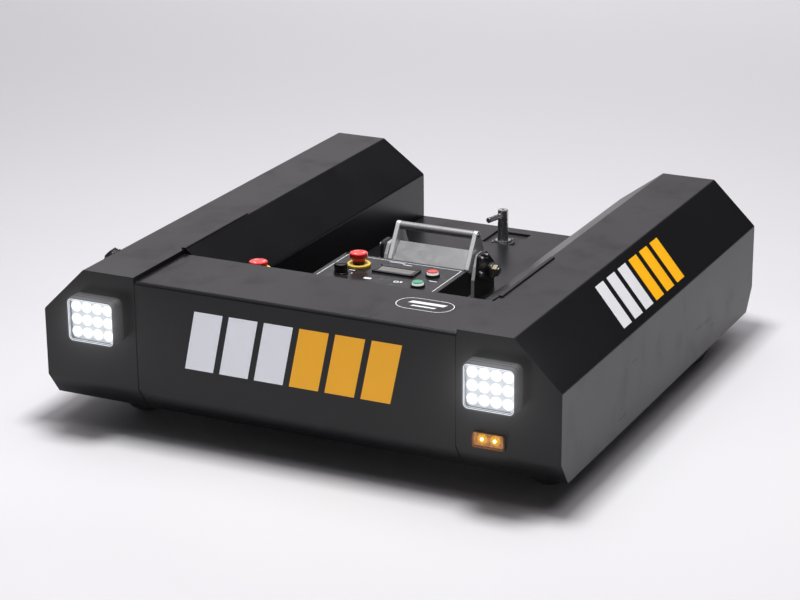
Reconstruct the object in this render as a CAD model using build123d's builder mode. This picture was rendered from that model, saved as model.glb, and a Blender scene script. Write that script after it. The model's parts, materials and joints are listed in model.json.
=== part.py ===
from build123d import *
import os
from math import hypot

os.makedirs("parts", exist_ok=True)

# Row frame: X across, seen from the front with -X on the left, -Y the front, Z up from the floor.
# The origin is on the floor, below the middle of the box that holds the whole tractor.

# Body sizes, in millimetres
body_width = 1120.0
body_length = 1104.0
body_height = 284.0
skirt_gap = 50.0
wall = 4.0
bend_radius = 7.0
seam = 2.0
end_rise = 49.0
end_run = 35.0

# Pod section: outer slope, flat crown, inner slope
outer_run = 96.0
outer_drop = 94.0
crown_width = 119.0
inner_run = 102.0
inner_drop = 74.0

# Cross beam at the front, between the pods
seam_inset = 213.0
beam_depth = 197.0
beam_step = 8.0

# Deck between the pods, with its well
deck_rise = 108.0
deck_thickness = 6.0
deck_overlap = 12.0
well_width = 172.0
well_gap = 4.0
well_rear_inset = 304.0
well_wall = 3.0
floor_plate = 6.0

# Control console on the deck
console_width = 283.0
console_front = 300.0
console_depth = 208.0
console_height = 101.0
console_wall = 3.0
panel_thickness = 3.0
panel_corner = 4.0
display_place = (11.0, 438.0)
display_size = (94.0, 44.0)
display_height = 4.0
display_corner = 3.0
screen_size = (70.0, 26.0)
screen_recess = 1.0

# Stop buttons: a yellow ring, a short stem and a mushroom head
stop_ring_radius = 25.0
stop_ring_height = 6.0
stop_stem_radius = 12.0
stop_head_radius = 20.0
stop_head_height = 11.0
stop_head_round = 4.0
stop_height = 27.0
panel_stop_place = (-77.0, 441.0)
side_stop_gap = 31.0
side_stop_front = 258.0
side_stop_rise = 257.0
side_ring_height = 15.0
side_box_size = (54.0, 54.0)
side_box_corner = 4.0

# Selector knob and push buttons on the panel
knob_place = (-89.5, 384.0)
knob_radius = 13.5
knob_height = 14.0
knob_grip = (7.0, 24.0, 8.0)
knob_turn = 35.0
button_places = {"push_button_red": (90.0, 445.0), "push_button_green": (90.0, 374.0)}
bezel_radius = 15.0
bezel_height = 5.0
cap_radius = 11.5
cap_height = 9.0

# Tilting wheel stop: two arms, a bar and a bent plate, on a shaft in two brackets
pivot_place = (676.0, 158.0)
arm_reach = 95.3
arm_thickness = 10.0
arm_top = (-14.8, 77.3)
arm_top_radius = 9.6
arm_front = (-59.3, 14.0)
arm_front_radius = 6.0
arm_rear = (21.7, 4.0)
arm_rear_radius = 10.0
arm_eye_radius = 18.0
bar_radius = 9.0
plate_thickness = 5.0
plate_front = (-61.0, 9.0)
plate_ridge = (-25.0, 43.0)
plate_rear = (24.0, 8.0)
bracket_gap = 5.0
bracket_thickness = 8.0
bracket_foot = (-66.0, 38.0)
bracket_low = (-64.0, -6.0)
bracket_mid = (-54.0, 21.0)
bracket_top_front = (-39.0, 43.0)
bracket_top_rear = (-14.0, 44.0)
bracket_rear = (34.0, -10.0)
bracket_fillet = 8.0
shaft_radius = 10.0
bearing_thickness = 8.0
bearing_radius = 24.0
bearing_boss_radius = 17.0
bearing_boss = 5.0
bearing_lug_radius = 10.0
bearing_lugs = ((-45.0, 38.0), (-22.0, 38.0), (-50.0, 6.0))
shaft_end = 18.0
nut_radius = 13.0
running_gap = 0.05

# Tow pin at the rear, with its jaw under the deck
pin_from_rear = 95.0
pin_radius = 11.0
pin_chamfer = 2.0
pin_rise = 74.0
collar_radius = 19.0
collar_height = 9.0
handle_radius = 6.0
handle_length = 54.0
handle_drop = 13.0
handle_heading = (-0.255, -0.967)
recess_width = 84.0
recess_before_pin = 24.0
recess_behind_pin = 64.0
jaw_width = 140.0
jaw_plate = 10.0
jaw_before_pin = 54.0
jaw_mouth = 42.0
mouth_width = 120.0

# Drive wheels near the rear
drive_radius = 93.0
drive_width = 70.0
drive_inset = 28.0
drive_from_rear = 244.0
rim_radius = 60.0
rim_wall = 9.0
rim_web = 10.0
rim_hub_radius = 28.0
rim_hub_width = 42.0
tyre_shoulder = 9.0
axle_radius = 15.0
gearbox_gap = 10.0
gearbox_size = (56.0, 120.0, 150.0)
motor_radius = 55.0
motor_length = 128.0
motor_rise = 150.0
wheel_opening_gap = 10.0

# Swivel castors near the front
castor_radius = 50.0
castor_width = 36.0
castor_trail = 32.0
castor_place = (111.0, 134.0)
castor_axle_radius = 5.0
castor_hub_radius = 11.0
castor_side_gap = 2.5
fork_thickness = 5.0
fork_eye_radius = 12.0
fork_crown_radius = 32.0
fork_crown_height = 12.0
kingpin_radius = 7.0
castor_height = 128.0
castor_plate_size = (105.0, 85.0, 8.0)
castor_plate_corner = 8.0
castor_tread_round = 4.0
castor_head_gap = 0.3
shelf_thickness = 6.0
shelf_length = 130.0
castor_bay_length = 94.0

# Batteries, one block in each pod
battery_size = (172.0, 205.0)
battery_gap = 22.0
battery_front_gap = 72.0
battery_rear_gap = 170.0

# Lamps on the front
lamp_size = (107.0, 93.0)
lamp_depth = 38.0
lamp_corner = 12.0
lamp_rim = 5.0
lens_recess = 3.0
lens_thickness = 6.0
lamp_inset = 131.0
lamp_rise = 191.0
marker_size = (66.0, 31.0)
marker_corner = 4.0
marker_depth = 7.0
marker_lens_depth = 6.0
marker_rim = 3.5
marker_inset = 145.0
marker_rise = 73.0

# Trim strips on the pods, and the charging socket on the left one
strip_width = 10.0
strip_height = 3.0
strip_length = 258.0
socket_radius = 20.0
socket_height = 12.0
socket_cap_radius = 15.0
socket_cap_height = 3.0
socket_place = 138.0
socket_slope_share = 0.83

# Places worked out from the sizes
half_width = body_width / 2
front_y = (lamp_depth - body_length) / 2
rear_y = front_y + body_length
skirt_z = skirt_gap
top_z = skirt_z + body_height
pod_width = outer_run + crown_width + inner_run
bay_half = half_width - pod_width
beam_half = half_width - seam_inset - seam / 2
beam_top = top_z - beam_step
beam_rear = front_y + beam_depth
deck_z = skirt_z + deck_rise
deck_under = deck_z - deck_thickness
floor_z = skirt_z + floor_plate
skin_run = wall * hypot(end_rise, end_run) / end_rise
floor_bottom_inset = end_run + skin_run
floor_top_inset = floor_bottom_inset - floor_plate * end_run / end_rise
console_y0 = front_y + console_front
console_y1 = console_y0 + console_depth
well_y0 = console_y1 + well_gap
well_y1 = rear_y - well_rear_inset
well_length = well_y1 - well_y0
pin_y = rear_y - pin_from_rear
sides = {"left": -1, "right": 1}


def across(y):
    # Plane square to the length, its sketch read as X and Z, extruded rearwards by negative amounts
    return Plane.XZ.offset(-y)


def save(piece, name):
    piece.part.label = name
    export_step(piece.part, f"parts/{name}.step")


# Floor plate under the whole body, open below the castors and the drive wheels
castor_x = half_width - castor_place[0]
castor_y = front_y + castor_place[1]
drive_x = half_width - drive_inset - drive_width / 2
drive_y = rear_y - drive_from_rear
castor_bay_rear = castor_y + castor_bay_length
drive_chord = (drive_radius**2 - (drive_radius - floor_z) ** 2) ** 0.5
opening_half = drive_chord + wheel_opening_gap
opening_width = drive_width + 2 * wheel_opening_gap

with BuildPart() as floor_pan:
    with BuildSketch(Plane.YZ):
        with BuildLine():
            Polyline(
                (front_y + floor_bottom_inset, skirt_z),
                (rear_y - floor_bottom_inset, skirt_z),
                (rear_y - floor_top_inset, floor_z),
                (front_y + floor_top_inset, floor_z),
                close=True,
            )
        make_face()
    extrude(amount=half_width - wall, both=True)
    for side in sides.values():
        castor_bay_width = half_width - beam_half - seam
        bay_depth = castor_bay_rear - front_y
        with Locations((side * (half_width - castor_bay_width / 2), front_y + bay_depth / 2, skirt_z)):
            Box(castor_bay_width, bay_depth, 4 * floor_plate, mode=Mode.SUBTRACT)
        with Locations((side * drive_x, drive_y, skirt_z)):
            Box(opening_width, 2 * opening_half, 4 * floor_plate, mode=Mode.SUBTRACT)
save(floor_pan, "floor_pan")


# Pod covers: bent sheet boxes, open below
def pod_section(side):
    outer = half_width
    return [
        (side * outer, skirt_z),
        (side * outer, top_z - outer_drop),
        (side * (outer - outer_run), top_z),
        (side * (outer - outer_run - crown_width), top_z),
        (side * bay_half, top_z - inner_drop),
        (side * bay_half, skirt_z),
    ]


for name, side in sides.items():
    with BuildPart() as pod_cover:
        with BuildSketch(across(front_y)):
            with BuildLine():
                Polyline(*pod_section(side), close=True)
            make_face()
        extrude(amount=-body_length)
        bends = pod_cover.edges().filter_by(Axis.Y).filter_by(lambda e: e.center().Z > skirt_z + 1)
        fillet(bends, bend_radius)
        with BuildSketch(Plane.XY.offset(skirt_z)):
            with Locations((side * (beam_half + seam - bay_half) / 2 + side * bay_half, front_y)):
                Rectangle(beam_half + seam - bay_half, 2 * (beam_depth + seam))
        extrude(amount=body_height, mode=Mode.SUBTRACT)
        for end_y, inward in ((front_y, 1), (rear_y, -1)):
            with BuildSketch(Plane.YZ):
                with BuildLine():
                    Polyline(
                        (end_y, skirt_z),
                        (end_y + inward * end_run, skirt_z),
                        (end_y, skirt_z + end_rise),
                        close=True,
                    )
                make_face()
            extrude(amount=body_width, both=True, mode=Mode.SUBTRACT)
        under = pod_cover.faces().filter_by(Axis.Z).group_by(Axis.Z)[0]
        offset(amount=-wall, openings=under)
        seat_rear = rear_y - floor_top_inset
        seat_width = beam_half + seam - bay_half + wall
        with Locations((side * (beam_half + seam - seat_width / 2), (beam_rear + seat_rear) / 2, skirt_z)):
            Box(seat_width, seat_rear - beam_rear, 2 * floor_plate, mode=Mode.SUBTRACT)
    save(pod_cover, f"pod_cover_{name}")

# Front beam cover: front skin, top skin and rear skin in one bent sheet
beam_outline = [
    (front_y + end_run, skirt_z),
    (front_y, skirt_z + end_rise),
    (front_y, beam_top),
    (beam_rear, beam_top),
    (beam_rear, deck_z),
]
beam_inside = [
    (beam_rear - wall, deck_z),
    (beam_rear - wall, beam_top - wall),
    (front_y + wall, beam_top - wall),
    (front_y + wall, skirt_z + end_rise + (skin_run - wall) * end_rise / end_run),
    (front_y + floor_bottom_inset, skirt_z),
]
with BuildPart() as beam_cover:
    with BuildSketch(Plane.YZ):
        with BuildLine():
            Polyline(*beam_outline, *beam_inside, close=True)
        make_face()
    extrude(amount=beam_half, both=True)
    top_bends = beam_cover.edges().filter_by(Axis.X).group_by(Axis.Z)[-1]
    fillet(top_bends, bend_radius)
save(beam_cover, "front_beam_cover")

# Deck plate between the pods, cut for the well and for the hitch recess
deck_front = beam_rear - deck_overlap
with BuildPart() as deck:
    with BuildSketch(Plane.XY.offset(deck_under)):
        with Locations((0, (beam_rear + seam + rear_y) / 2)):
            Rectangle(2 * bay_half, rear_y - beam_rear - seam)
        with Locations((0, (deck_front + beam_rear + seam) / 2)):
            Rectangle(2 * bay_half, beam_rear + seam - deck_front)
        with Locations((0, (well_y0 + well_y1) / 2)):
            Rectangle(well_width, well_length, mode=Mode.SUBTRACT)
        with Locations((0, pin_y + (recess_behind_pin - recess_before_pin) / 2)):
            Rectangle(recess_width, recess_behind_pin + recess_before_pin, mode=Mode.SUBTRACT)
    extrude(amount=deck_thickness)
save(deck, "deck_plate")

# Rear apron under the deck, with the tow bar's mouth
mouth_z = deck_under - jaw_plate - jaw_mouth
apron_outline = [
    (rear_y, deck_under),
    (rear_y, skirt_z + end_rise),
    (rear_y - end_run, skirt_z),
    (rear_y - floor_bottom_inset, skirt_z),
    (rear_y - wall, skirt_z + end_rise + (skin_run - wall) * end_rise / end_run),
    (rear_y - wall, deck_under),
]
with BuildPart() as apron:
    with BuildSketch(Plane.YZ):
        with BuildLine():
            Polyline(*apron_outline, close=True)
        make_face()
    extrude(amount=bay_half, both=True)
    with Locations((0, rear_y, mouth_z + jaw_mouth / 2)):
        Box(mouth_width, 2 * (end_run + wall), jaw_mouth, mode=Mode.SUBTRACT)
save(apron, "rear_apron")

# Well tray below the deck's opening
with BuildPart() as tray:
    with BuildSketch(Plane.XY.offset(floor_z)):
        with Locations((0, (well_y0 + well_y1) / 2)):
            Rectangle(well_width + 2 * well_wall, well_length + 2 * well_wall)
    extrude(amount=deck_under - floor_z)
    with BuildSketch(Plane.XY.offset(floor_z + well_wall)):
        with Locations((0, (well_y0 + well_y1) / 2)):
            Rectangle(well_width, well_length)
    extrude(amount=deck_under - floor_z, mode=Mode.SUBTRACT)
save(tray, "well_tray")

# Hitch jaw: two plates and a back, bored for the tow pin
jaw_y0 = pin_y - jaw_before_pin
jaw_y1 = rear_y - wall
jaw_top = deck_under
jaw_bottom = mouth_z - jaw_plate
with BuildPart() as jaw:
    with BuildSketch(Plane.YZ):
        with Locations(((jaw_y0 + jaw_y1) / 2, (jaw_top + jaw_bottom) / 2)):
            Rectangle(jaw_y1 - jaw_y0, jaw_top - jaw_bottom)
        with Locations(((jaw_y0 + jaw_plate + jaw_y1 + wall) / 2, mouth_z + jaw_mouth / 2)):
            Rectangle(jaw_y1 + wall - jaw_y0 - jaw_plate, jaw_mouth, mode=Mode.SUBTRACT)
    extrude(amount=jaw_width / 2, both=True)
    with Locations((0, pin_y, jaw_bottom)):
        Cylinder(
            pin_radius + running_gap,
            2 * (jaw_top - jaw_bottom),
            mode=Mode.SUBTRACT,
        )
    with BuildSketch(Plane.YZ):
        with BuildLine():
            Polyline(
                (rear_y, skirt_z),
                (rear_y - end_run, skirt_z),
                (rear_y - floor_bottom_inset, skirt_z),
                (rear_y - wall, skirt_z + end_rise + (skin_run - wall) * end_rise / end_run),
                (rear_y, skirt_z + end_rise + (skin_run - wall) * end_rise / end_run),
                close=True,
            )
        make_face()
    extrude(amount=jaw_width, both=True, mode=Mode.SUBTRACT)
save(jaw, "hitch_jaw")

# Tow pin with its collar, and the cross handle
pin_top = deck_z + pin_rise
with BuildPart() as pin:
    with BuildSketch(Plane.XY.offset(jaw_bottom)):
        with Locations((0, pin_y)):
            Circle(pin_radius)
    extrude(amount=pin_top - jaw_bottom)
    chamfer(pin.edges().filter_by(GeomType.CIRCLE), pin_chamfer)
    with BuildSketch(Plane.XY.offset(jaw_top)):
        with Locations((0, pin_y)):
            Circle(collar_radius)
    extrude(amount=collar_height)
save(pin, "tow_pin")

handle_z = pin_top - handle_drop
handle_plane = Plane(
    origin=(0, pin_y, handle_z),
    x_dir=(-handle_heading[1], handle_heading[0], 0),
    z_dir=(handle_heading[0], handle_heading[1], 0),
)
with BuildPart() as handle:
    with BuildSketch(handle_plane):
        Circle(handle_radius)
    extrude(amount=handle_length)
    with BuildSketch(Plane.XY.offset(handle_z - 2 * pin_radius)):
        with Locations((0, pin_y)):
            Circle(pin_radius)
    extrude(amount=4 * pin_radius, mode=Mode.SUBTRACT)
save(handle, "tow_pin_handle")

# Control console on the deck, with its panel
console_top = deck_z + console_height
panel_z = console_top + panel_thickness
console_y = (console_y0 + console_y1) / 2
with BuildPart() as console:
    with BuildSketch(Plane.XY.offset(deck_z)):
        with Locations((0, console_y)):
            RectangleRounded(console_width, console_depth, panel_corner)
    extrude(amount=console_height)
    with BuildSketch(Plane.XY.offset(deck_z)):
        with Locations((0, console_y)):
            Rectangle(console_width - 2 * console_wall, console_depth - 2 * console_wall)
    extrude(amount=console_height - console_wall, mode=Mode.SUBTRACT)
save(console, "console_box")

with BuildPart() as panel:
    with BuildSketch(Plane.XY.offset(console_top)):
        with Locations((0, console_y)):
            RectangleRounded(console_width, console_depth, panel_corner)
    extrude(amount=panel_thickness)
save(panel, "console_panel")

with BuildPart() as display:
    with BuildSketch(Plane.XY.offset(panel_z)):
        with Locations((display_place[0], front_y + display_place[1])):
            RectangleRounded(*display_size, display_corner)
    extrude(amount=display_height)
    with BuildSketch(Plane.XY.offset(panel_z + display_height - screen_recess)):
        with Locations((display_place[0], front_y + display_place[1])):
            Rectangle(*screen_size)
    extrude(amount=2 * screen_recess, mode=Mode.SUBTRACT)
save(display, "display")

# Pedestal for the stop button at the left, between the beam and the console
side_stop_x = side_stop_gap - bay_half
side_stop_y = front_y + side_stop_front
side_box_top = skirt_z + side_stop_rise - stop_height
with BuildPart() as pedestal:
    with BuildSketch(Plane.XY.offset(deck_z)):
        with Locations((side_stop_x, side_stop_y)):
            RectangleRounded(*side_box_size, side_box_corner)
    extrude(amount=side_box_top - deck_z)
save(pedestal, "stop_pedestal")

# Rings and heads of the two stop buttons
stop_seats = (
    (panel_stop_place[0], front_y + panel_stop_place[1], panel_z, stop_ring_height),
    (side_stop_x, side_stop_y, side_box_top, side_ring_height),
)
with BuildPart() as stop_rings:
    for x, y, z, ring_height in stop_seats:
        with BuildSketch(Plane.XY.offset(z)):
            with Locations((x, y)):
                Circle(stop_ring_radius)
        extrude(amount=ring_height)
save(stop_rings, "stop_button_rings")

with BuildPart() as stop_heads:
    for x, y, z, ring_height in stop_seats:
        with BuildSketch(Plane(origin=(x, y, z), x_dir=(1, 0, 0), z_dir=(0, -1, 0))):
            with Locations((stop_stem_radius / 2, (ring_height + stop_height) / 2)):
                Rectangle(stop_stem_radius, stop_height - ring_height)
            with Locations((stop_head_radius / 2, stop_height - stop_head_height / 2)):
                Rectangle(stop_head_radius, stop_head_height)
            fillet(vertices().group_by(Axis.X)[-1], stop_head_round)
        revolve(axis=Axis((x, y, z), (0, 0, 1)))
save(stop_heads, "stop_button_heads")

with BuildPart() as knob:
    with BuildSketch(Plane.XY.offset(panel_z)):
        with Locations((knob_place[0], front_y + knob_place[1])):
            Circle(knob_radius)
    extrude(amount=knob_height)
    with BuildSketch(Plane.XY.offset(panel_z + knob_height)):
        with Locations(Location((knob_place[0], front_y + knob_place[1], 0), (0, 0, knob_turn))):
            SlotOverall(knob_grip[1], knob_grip[0])
    extrude(amount=knob_grip[2])
save(knob, "selector_knob")

for name, (x, y) in button_places.items():
    with BuildPart() as button:
        with BuildSketch(Plane.XY.offset(panel_z)):
            with Locations((x, front_y + y)):
                Circle(bezel_radius)
        extrude(amount=bezel_height)
        with BuildSketch(Plane.XY.offset(panel_z + bezel_height)):
            with Locations((x, front_y + y)):
                Circle(cap_radius)
        extrude(amount=cap_height)
    save(button, name)

# Brackets of the tilting wheel stop, on the deck at both sides of the well
pivot_y = front_y + pivot_place[0]
pivot_z = skirt_z + pivot_place[1]
bracket_inner = arm_reach + bracket_gap
bracket_outer = bracket_inner + bracket_thickness
bracket_rise = (
    (bracket_foot[0], deck_z - pivot_z),
    bracket_low,
    bracket_mid,
    bracket_top_front,
    bracket_top_rear,
    bracket_rear,
    (bracket_foot[1], deck_z - pivot_z),
)
with BuildPart() as brackets:
    for side in sides.values():
        with BuildSketch(Plane.YZ.offset(side * (bracket_inner + bracket_outer) / 2)):
            with BuildLine():
                Polyline(*[(pivot_y + y, pivot_z + z) for y, z in bracket_rise], close=True)
            make_face()
            fillet(vertices().filter_by(lambda v: v.Y > deck_z + shaft_radius), bracket_fillet)
            with Locations((pivot_y, pivot_z)):
                Circle(shaft_radius, mode=Mode.SUBTRACT)
        extrude(amount=bracket_thickness / 2, both=True)
save(brackets, "stop_brackets")

bearing_outer = bracket_outer + bearing_thickness
shaft_half = bearing_outer + bearing_boss
with BuildPart() as bearings:
    for side in sides.values():
        with BuildSketch(Plane.YZ.offset(side * (bracket_outer + bearing_outer) / 2)):
            for y, z in bearing_lugs:
                with Locations((pivot_y + y, pivot_z + z)):
                    Circle(bearing_lug_radius)
            with Locations((pivot_y, pivot_z)):
                Circle(bearing_radius)
            make_hull()
        extrude(amount=bearing_thickness / 2, both=True)
        with BuildSketch(Plane.YZ.offset(side * (bearing_outer + shaft_half) / 2)):
            with Locations((pivot_y, pivot_z)):
                Circle(bearing_boss_radius)
        extrude(amount=bearing_boss / 2, both=True)
    with BuildSketch(Plane.YZ):
        with Locations((pivot_y, pivot_z)):
            Circle(shaft_radius)
    extrude(amount=shaft_half, both=True, mode=Mode.SUBTRACT)
save(bearings, "stop_bearings")

with BuildPart() as shaft:
    with BuildSketch(Plane.YZ):
        with Locations((pivot_y, pivot_z)):
            Circle(shaft_radius)
    extrude(amount=shaft_half, both=True)
    for side in sides.values():
        with BuildSketch(Plane.YZ.offset(side * (shaft_half + shaft_end / 2))):
            with Locations((pivot_y, pivot_z)):
                RegularPolygon(nut_radius, 6)
        extrude(amount=shaft_end / 2, both=True)
save(shaft, "stop_shaft")

# Arms, bar and bent plate of the wheel stop
arm_mid = arm_reach - arm_thickness / 2
arm_inner = arm_reach - arm_thickness
arm_corners = (
    (arm_top, arm_top_radius),
    (arm_front, arm_front_radius),
    (arm_rear, arm_rear_radius),
    ((0, 0), arm_eye_radius),
)
with BuildPart() as arms:
    for side in sides.values():
        with BuildSketch(Plane.YZ.offset(side * arm_mid)):
            for (y, z), corner_radius in arm_corners:
                with Locations((pivot_y + y, pivot_z + z)):
                    Circle(corner_radius)
            make_hull()
            with Locations((pivot_y, pivot_z)):
                Circle(shaft_radius + running_gap, mode=Mode.SUBTRACT)
        extrude(amount=arm_thickness / 2, both=True)
save(arms, "stop_arms")

bar_y = pivot_y + arm_top[0]
bar_z = pivot_z + arm_top[1]
with BuildPart() as bar:
    with BuildSketch(Plane.YZ):
        with Locations((bar_y, bar_z)):
            Circle(bar_radius)
    extrude(amount=arm_inner, both=True)
save(bar, "stop_bar")

plate_line = (plate_front, plate_ridge, plate_rear)
with BuildPart() as stop_plate:
    with BuildSketch(Plane.YZ):
        with BuildLine():
            ridge_line = Polyline(*[(pivot_y + y, pivot_z + z) for y, z in plate_line])
        trace(ridge_line, plate_thickness)
    extrude(amount=arm_inner, both=True)
save(stop_plate, "stop_plate")

# Drive wheels: tyre, rim with its axle, gearbox and motor
axle_z = drive_radius
gearbox_x1 = drive_x - drive_width / 2 - gearbox_gap
gearbox_x0 = gearbox_x1 - gearbox_size[0]
for name, side in sides.items():
    wheel_plane = Plane(origin=(side * drive_x, drive_y, axle_z), x_dir=(side, 0, 0), z_dir=(0, -side, 0))
    wheel_axis = Axis((side * drive_x, drive_y, axle_z), (1, 0, 0))
    with BuildPart() as tyre:
        with BuildSketch(wheel_plane):
            with Locations((0, (drive_radius + rim_radius) / 2)):
                Rectangle(drive_width, drive_radius - rim_radius)
            fillet(vertices().group_by(Axis.Y)[-1], tyre_shoulder)
        revolve(axis=wheel_axis)
    save(tyre, f"drive_tyre_{name}")

    with BuildPart() as rim:
        with BuildSketch(wheel_plane):
            with Locations((0, rim_radius - rim_wall / 2)):
                Rectangle(drive_width, rim_wall)
            with Locations((0, (rim_radius - rim_wall / 2) / 2)):
                Rectangle(rim_web, rim_radius - rim_wall / 2)
            with Locations((0, rim_hub_radius / 2)):
                Rectangle(rim_hub_width, rim_hub_radius)
        revolve(axis=wheel_axis)
        with BuildSketch(Plane.YZ.offset(side * (gearbox_x0 + drive_x) / 2)):
            with Locations((drive_y, axle_z)):
                Circle(axle_radius)
        extrude(amount=(drive_x - gearbox_x0) / 2, both=True)
    save(rim, f"drive_rim_{name}")

with BuildPart() as gearboxes:
    for side in sides.values():
        with BuildSketch(Plane.YZ.offset(side * (gearbox_x0 + gearbox_x1) / 2)):
            with Locations((drive_y, floor_z + gearbox_size[2] / 2)):
                Rectangle(gearbox_size[1], gearbox_size[2])
            with Locations((drive_y, axle_z)):
                Circle(axle_radius + running_gap, mode=Mode.SUBTRACT)
        extrude(amount=gearbox_size[0] / 2, both=True)
save(gearboxes, "gearboxes")

with BuildPart() as motors:
    for side in sides.values():
        with BuildSketch(Plane.YZ.offset(side * (gearbox_x0 - motor_length / 2))):
            with Locations((drive_y, motor_rise)):
                Circle(motor_radius)
        extrude(amount=motor_length / 2, both=True)
save(motors, "drive_motors")

# Castors: fixed shelf and head plate, swivelling fork, wheel
shelf_x0 = beam_half + seam + wall
shelf_x1 = half_width - wall
with BuildPart() as shelves:
    for side in sides.values():
        with BuildSketch(Plane.XY.offset(castor_height)):
            with Locations((side * (shelf_x0 + shelf_x1) / 2, castor_y)):
                Rectangle(shelf_x1 - shelf_x0, shelf_length)
        extrude(amount=shelf_thickness)
save(shelves, "castor_shelves")

head_z = castor_height - castor_plate_size[2]
with BuildPart() as heads:
    for side in sides.values():
        with BuildSketch(Plane.XY.offset(head_z)):
            with Locations((side * castor_x, castor_y)):
                RectangleRounded(castor_plate_size[0], castor_plate_size[1], castor_plate_corner)
                Circle(kingpin_radius + running_gap, mode=Mode.SUBTRACT)
        extrude(amount=castor_plate_size[2])
save(heads, "castor_plates")

crown_top = head_z - castor_head_gap
crown_bottom = crown_top - fork_crown_height
leg_inner = castor_width / 2 + castor_side_gap
for name, side in sides.items():
    pivot_x = side * castor_x
    wheel_x = pivot_x + castor_trail
    with BuildPart() as fork:
        with BuildSketch(Plane.XY.offset(crown_bottom)):
            with Locations((pivot_x, castor_y)):
                Circle(fork_crown_radius)
        extrude(amount=fork_crown_height)
        with BuildSketch(Plane.XY.offset(crown_top)):
            with Locations((pivot_x, castor_y)):
                Circle(kingpin_radius)
        extrude(amount=castor_plate_size[2])
        for leg in (-1, 1):
            with BuildSketch(across(castor_y + leg * (leg_inner + fork_thickness / 2))):
                with Locations((wheel_x, castor_radius)):
                    Circle(fork_eye_radius)
                with Locations((pivot_x, crown_bottom + fork_crown_height / 2)):
                    Rectangle(fork_eye_radius * 3, fork_crown_height)
                make_hull()
            extrude(amount=fork_thickness / 2, both=True)
        with BuildSketch(across(castor_y)):
            with Locations((wheel_x, castor_radius)):
                Circle(castor_axle_radius)
        extrude(amount=leg_inner + fork_thickness, both=True)
    save(fork, f"castor_fork_{name}")

    with BuildPart() as wheel:
        with BuildSketch(Plane.XZ.offset(-castor_y)):
            with Locations((wheel_x, castor_radius)):
                Circle(castor_radius)
                Circle(castor_axle_radius + running_gap, mode=Mode.SUBTRACT)
        extrude(amount=castor_width / 2, both=True)
        rims = wheel.edges().filter_by(GeomType.CIRCLE).group_by(SortBy.RADIUS)[-1]
        fillet(rims, castor_tread_round)
        with BuildSketch(across(castor_y)):
            with Locations((wheel_x, castor_radius)):
                Circle(castor_hub_radius)
                Circle(castor_axle_radius + running_gap, mode=Mode.SUBTRACT)
        extrude(amount=leg_inner - castor_head_gap, both=True)
    save(wheel, f"castor_wheel_{name}")

# Batteries, one block in each pod on the floor plate
battery_x = bay_half + wall + battery_gap + battery_size[0] / 2
battery_y0 = castor_bay_rear + battery_front_gap
battery_y1 = drive_y - gearbox_size[1] / 2 - battery_rear_gap
with BuildPart() as batteries:
    for side in sides.values():
        with BuildSketch(Plane.XY.offset(floor_z)):
            with Locations((side * battery_x, (battery_y0 + battery_y1) / 2)):
                Rectangle(battery_size[0], battery_y1 - battery_y0)
        extrude(amount=battery_size[1])
save(batteries, "battery_blocks")

# Work lamps on the front of both pods
for name, side in sides.items():
    lamp_x = side * (half_width - lamp_inset)
    lamp_z = skirt_z + lamp_rise
    lens_size = (lamp_size[0] - 2 * lamp_rim, lamp_size[1] - 2 * lamp_rim)
    lamp_front = front_y - lamp_depth
    with BuildPart() as housing:
        with BuildSketch(across(lamp_front)):
            with Locations((lamp_x, lamp_z)):
                RectangleRounded(*lamp_size, lamp_corner)
        extrude(amount=-lamp_depth)
        with BuildSketch(across(lamp_front)):
            with Locations((lamp_x, lamp_z)):
                RectangleRounded(*lens_size, lamp_corner - lamp_rim)
        extrude(amount=-lens_recess - lens_thickness, mode=Mode.SUBTRACT)
    save(housing, f"work_lamp_housing_{name}")

    with BuildPart() as lens:
        with BuildSketch(across(lamp_front + lens_recess)):
            with Locations((lamp_x, lamp_z)):
                RectangleRounded(*lens_size, lamp_corner - lamp_rim)
        extrude(amount=-lens_thickness)
    save(lens, f"work_lamp_lens_{name}")

# Amber marker lamp below the right work lamp
marker_x = half_width - marker_inset
marker_z = skirt_z + marker_rise
with BuildPart() as marker:
    with BuildSketch(across(front_y)):
        with Locations((marker_x, marker_z)):
            RectangleRounded(*marker_size, marker_corner)
    extrude(amount=marker_depth)
save(marker, "marker_lamp_base")

with BuildPart() as marker_lens:
    with BuildSketch(across(front_y - marker_depth)):
        with Locations((marker_x, marker_z)):
            RectangleRounded(marker_size[0] - 2 * marker_rim, marker_size[1] - 2 * marker_rim, marker_corner)
    extrude(amount=marker_lens_depth)
save(marker_lens, "marker_lamp_lens")

# Trim strips on the inner edges of both crowns
strip_x = half_width - outer_run - crown_width + strip_width / 2
with BuildPart() as strips:
    for side in sides.values():
        with BuildSketch(Plane.XY.offset(top_z)):
            with Locations((side * strip_x, beam_rear + strip_length / 2)):
                Rectangle(strip_width, strip_length)
        extrude(amount=strip_height)
save(strips, "crown_strips")

# Capped charging socket on the left pod's outer slope
slope = hypot(outer_run, outer_drop)
slope_normal = (-outer_drop / slope, 0, outer_run / slope)
socket_origin = (
    -half_width + outer_run * socket_slope_share,
    front_y + socket_place,
    top_z - outer_drop * (1 - socket_slope_share),
)
with BuildPart() as socket:
    with BuildSketch(Plane(origin=socket_origin, x_dir=(0, 1, 0), z_dir=slope_normal)):
        Circle(socket_radius)
    extrude(amount=socket_height - socket_cap_height)
    with BuildSketch(Plane(origin=socket_origin, x_dir=(0, 1, 0), z_dir=slope_normal)):
        Circle(socket_cap_radius)
    extrude(amount=socket_height)
save(socket, "charge_socket")
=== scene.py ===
import json
import math

import bmesh
import bpy
from mathutils import Matrix, Vector


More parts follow.
